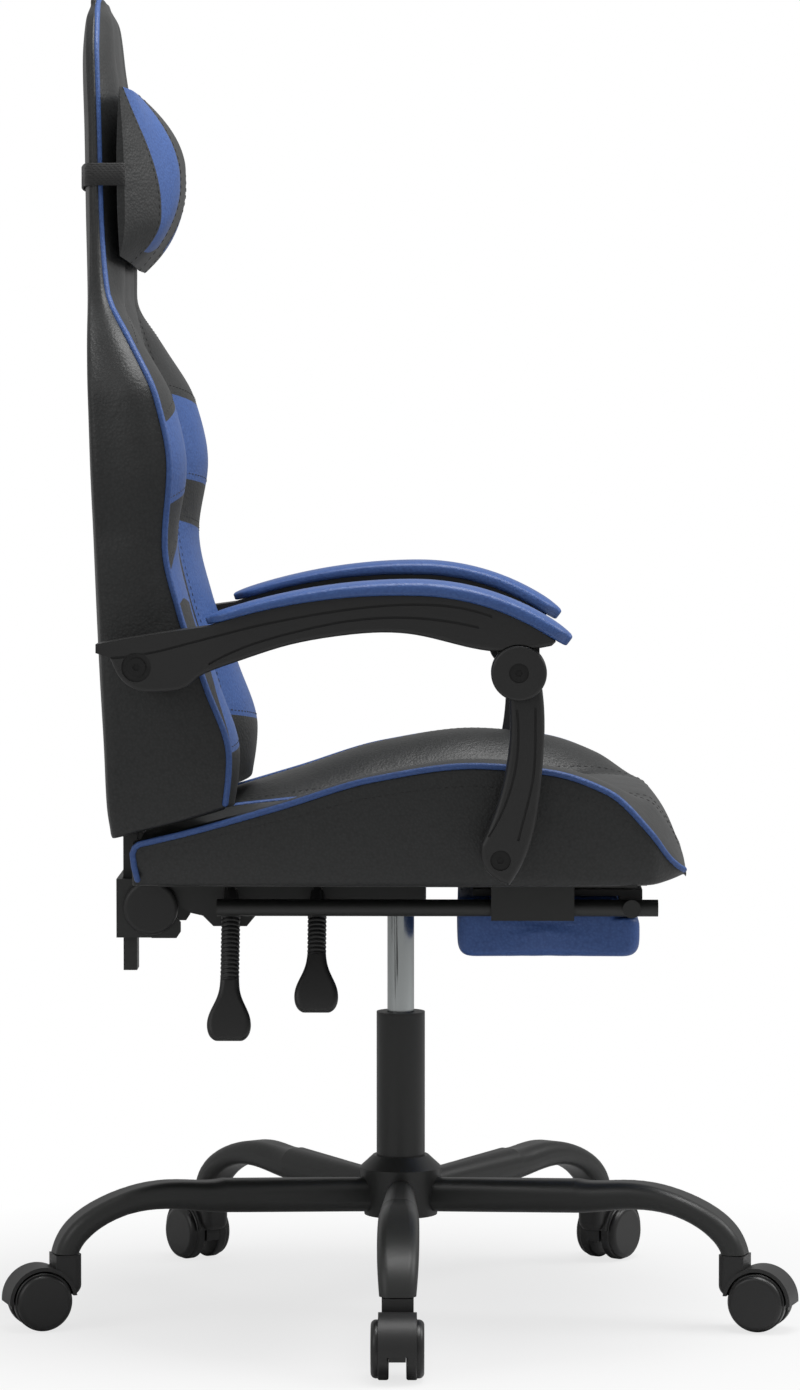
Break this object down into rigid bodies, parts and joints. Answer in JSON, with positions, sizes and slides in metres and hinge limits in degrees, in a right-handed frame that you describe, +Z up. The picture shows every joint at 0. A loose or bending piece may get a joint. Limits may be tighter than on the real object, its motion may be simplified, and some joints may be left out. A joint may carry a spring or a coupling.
{
  "type": "gaming chair",
  "caption": "Racing-style gaming chair with reclining back, linked arch arms, gas lift, star base on twin-wheel casters, head pillow and slide-out footrest.",
  "frame": {"origin": "on the floor, on the gas-lift axis", "axes": "+X forward, +Y to the sitter's left, +Z up"},
  "size_m": [0.7603, 0.7243, 1.265],
  "materials": {
    "black_upholstery": "satin",
    "blue_upholstery": "satin",
    "blue_pad": "satin",
    "webbing": "matte",
    "black_metal": "satin",
    "black_steel": "satin",
    "chrome_rod": "polished",
    "black_plastic": "matte",
    "wheel_nylon": "satin"
  },
  "bodies": {
    "base": {"star_base": "black_metal", "gas_column": "black_metal", "column_bush": "black_plastic", "thrust_bearing": "black_steel", "piston_rod": "black_steel"},
    "lift": {"gas_cylinder": "chrome_rod"},
    "valve": {"release_pin": "black_steel"},
    "seat": {"seat_cushion": "black_upholstery", "seat_frame": "black_metal", "chassis": "black_metal", "seat_bolts": "black_steel", "hinge_plates": "black_metal", "hinge_pins": "black_steel", "hinge_covers": "black_plastic", "footrest_guides": "black_metal", "post_bolts": "black_steel"},
    "lever_height": {"height_lever": "black_metal", "height_grip": "black_plastic"},
    "lever_recline": {"recline_lever": "black_metal", "recline_grip": "black_plastic"},
    "back": {"back_cushion": "black_upholstery", "back_frame": "black_metal", "back_bracket": "black_metal", "back_bolts": "black_steel", "arm_bolts": "black_steel"},
    "pillow": {"head_pillow": "black_upholstery", "head_strap": "webbing"},
    "footrest": {"footrest_rails": "black_metal", "footrest_axle": "black_metal"},
    "footrest_flap": {"footrest_board": "black_plastic", "footrest_pad": "blue_upholstery"},
    "post_left": {"arm_post_left": "black_plastic", "knuckle_bolt_left": "black_steel"},
    "arm_left": {"arm_beam_left": "black_plastic", "arm_pad_left": "blue_pad"},
    "post_right": {"arm_post_right": "black_plastic", "knuckle_bolt_right": "black_steel"},
    "arm_right": {"arm_beam_right": "black_plastic", "arm_pad_right": "blue_pad"},
    "caster_1": {"caster_hood_1": "black_plastic", "caster_pins_1": "black_steel"},
    "caster_1_wheel_left": {"wheel_left_1": "wheel_nylon"},
    "caster_1_wheel_right": {"wheel_right_1": "wheel_nylon"},
    "caster_2": {"caster_hood_2": "black_plastic", "caster_pins_2": "black_steel"},
    "caster_2_wheel_left": {"wheel_left_2": "wheel_nylon"},
    "caster_2_wheel_right": {"wheel_right_2": "wheel_nylon"},
    "caster_3": {"caster_hood_3": "black_plastic", "caster_pins_3": "black_steel"},
    "caster_3_wheel_left": {"wheel_left_3": "wheel_nylon"},
    "caster_3_wheel_right": {"wheel_right_3": "wheel_nylon"},
    "caster_4": {"caster_hood_4": "black_plastic", "caster_pins_4": "black_steel"},
    "caster_4_wheel_left": {"wheel_left_4": "wheel_nylon"},
    "caster_4_wheel_right": {"wheel_right_4": "wheel_nylon"},
    "caster_5": {"caster_hood_5": "black_plastic", "caster_pins_5": "black_steel"},
    "caster_5_wheel_left": {"wheel_left_5": "wheel_nylon"},
    "caster_5_wheel_right": {"wheel_right_5": "wheel_nylon"}
  },
  "joints": [
    {"name": "height_adjust", "type": "slide", "parent": "base", "child": "lift", "axis": [0, 0, 1], "range_m": [-0.08, 0]},
    {"name": "valve_press", "type": "slide", "parent": "lift", "child": "valve", "axis": [0, 0, -1], "range_m": [0, 0.0045]},
    {"name": "seat_swivel", "type": "hinge", "parent": "lift", "child": "seat", "pos_m": [0, 0, 0.4], "axis": [0, 0, 1], "continuous": true},
    {"name": "height_lever_pull", "type": "hinge", "parent": "seat", "child": "lever_height", "pos_m": [-0.078, -0.07, 0.4223], "axis": [-1, 0, 0], "range_deg": [0, 3], "stiffness_Nm_per_rad": 12, "springref_deg": -2.86},
    {"name": "recline_lever_pull", "type": "hinge", "parent": "seat", "child": "lever_recline", "pos_m": [-0.16, -0.07, 0.4223], "axis": [-1, 0, 0], "range_deg": [0, 10], "stiffness_Nm_per_rad": 3, "springref_deg": -5.73},
    {"name": "recline", "type": "hinge", "parent": "seat", "child": "back", "pos_m": [-0.237, 0, 0.401], "axis": [0, -1, 0], "range_deg": [0, 40]},
    {"name": "pillow_height", "type": "slide", "parent": "back", "child": "pillow", "axis": [0, 0, 1], "range_m": [-0.01, 0.05]},
    {"name": "footrest_slide", "type": "slide", "parent": "seat", "child": "footrest", "axis": [1, 0, 0], "range_m": [0, 0.22]},
    {"name": "footrest_flip", "type": "hinge", "parent": "footrest", "child": "footrest_flap", "pos_m": [0.219, 0, 0.407], "axis": [0, -1, 0], "range_deg": [0, 180]},
    {"name": "post_left_swing", "type": "hinge", "parent": "seat", "child": "post_left", "pos_m": [0.095, 0.276, 0.464], "axis": [0, -1, 0], "range_deg": [0, 57]},
    {"name": "arm_left_swing", "type": "hinge", "parent": "post_left", "child": "arm_left", "pos_m": [0.1115, 0.276, 0.636], "axis": [0, -1, 0], "range_deg": [-58, 0]},
    {"name": "post_right_swing", "type": "hinge", "parent": "seat", "child": "post_right", "pos_m": [0.095, -0.276, 0.464], "axis": [0, -1, 0], "range_deg": [0, 57]},
    {"name": "arm_right_swing", "type": "hinge", "parent": "post_right", "child": "arm_right", "pos_m": [0.1115, -0.276, 0.636], "axis": [0, -1, 0], "range_deg": [-58, 0]},
    {"name": "caster_1_swivel", "type": "hinge", "parent": "base", "child": "caster_1", "pos_m": [0.00176, -0.33599, 0.071], "axis": [0, 0, 1], "continuous": true},
    {"name": "caster_1_roll_left", "type": "hinge", "parent": "caster_1", "child": "caster_1_wheel_left", "pos_m": [0.00189, -0.361, 0.028], "axis": [1, 0.0052, 0], "continuous": true},
    {"name": "caster_1_roll_right", "type": "hinge", "parent": "caster_1", "child": "caster_1_wheel_right", "pos_m": [0.00189, -0.361, 0.028], "axis": [1, 0.0052, 0], "continuous": true},
    {"name": "caster_2_swivel", "type": "hinge", "parent": "base", "child": "caster_2", "pos_m": [0.32009, -0.10215, 0.071], "axis": [0, 0, 1], "continuous": true},
    {"name": "caster_2_roll_left", "type": "hinge", "parent": "caster_2", "child": "caster_2_wheel_left", "pos_m": [0.34391, -0.10976, 0.028], "axis": [0.304, 0.9527, 0], "continuous": true},
    {"name": "caster_2_roll_right", "type": "hinge", "parent": "caster_2", "child": "caster_2_wheel_right", "pos_m": [0.34391, -0.10976, 0.028], "axis": [0.304, 0.9527, 0], "continuous": true},
    {"name": "caster_3_swivel", "type": "hinge", "parent": "base", "child": "caster_3", "pos_m": [0.19607, 0.27286, 0.071], "axis": [0, 0, 1], "continuous": true},
    {"name": "caster_3_roll_left", "type": "hinge", "parent": "caster_3", "child": "caster_3_wheel_left", "pos_m": [0.21066, 0.29316, 0.028], "axis": [-0.8121, 0.5835, 0], "continuous": true},
    {"name": "caster_3_roll_right", "type": "hinge", "parent": "caster_3", "child": "caster_3_wheel_right", "pos_m": [0.21066, 0.29316, 0.028], "axis": [-0.8121, 0.5835, 0], "continuous": true},
    {"name": "caster_4_swivel", "type": "hinge", "parent": "base", "child": "caster_4", "pos_m": [-0.19892, 0.27079, 0.071], "axis": [0, 0, 1], "continuous": true},
    {"name": "caster_4_roll_left", "type": "hinge", "parent": "caster_4", "child": "caster_4_wheel_left", "pos_m": [-0.21372, 0.29094, 0.028], "axis": [-0.8059, -0.592, 0], "continuous": true},
    {"name": "caster_4_roll_right", "type": "hinge", "parent": "caster_4", "child": "caster_4_wheel_right", "pos_m": [-0.21372, 0.29094, 0.028], "axis": [-0.8059, -0.592, 0], "continuous": true},
    {"name": "caster_5_swivel", "type": "hinge", "parent": "base", "child": "caster_5", "pos_m": [-0.31901, -0.1055, 0.071], "axis": [0, 0, 1], "continuous": true},
    {"name": "caster_5_roll_left", "type": "hinge", "parent": "caster_5", "child": "caster_5_wheel_left", "pos_m": [-0.34274, -0.11335, 0.028], "axis": [0.314, -0.9494, 0], "continuous": true},
    {"name": "caster_5_roll_right", "type": "hinge", "parent": "caster_5", "child": "caster_5_wheel_right", "pos_m": [-0.34274, -0.11335, 0.028], "axis": [0.314, -0.9494, 0], "continuous": true}
  ],
  "couplings": [
    {"joint": "valve_press", "follows": "height_lever_pull", "m_per_rad": 0.07},
    {"joint": "footrest_flip", "follows": "footrest_slide", "rad_per_m": 14.28},
    {"joint": "post_left_swing", "follows": "recline", "ratio": 1.42},
    {"joint": "arm_left_swing", "follows": "recline", "ratio": -1.44},
    {"joint": "post_right_swing", "follows": "recline", "ratio": 1.42},
    {"joint": "arm_right_swing", "follows": "recline", "ratio": -1.44}
  ]
}
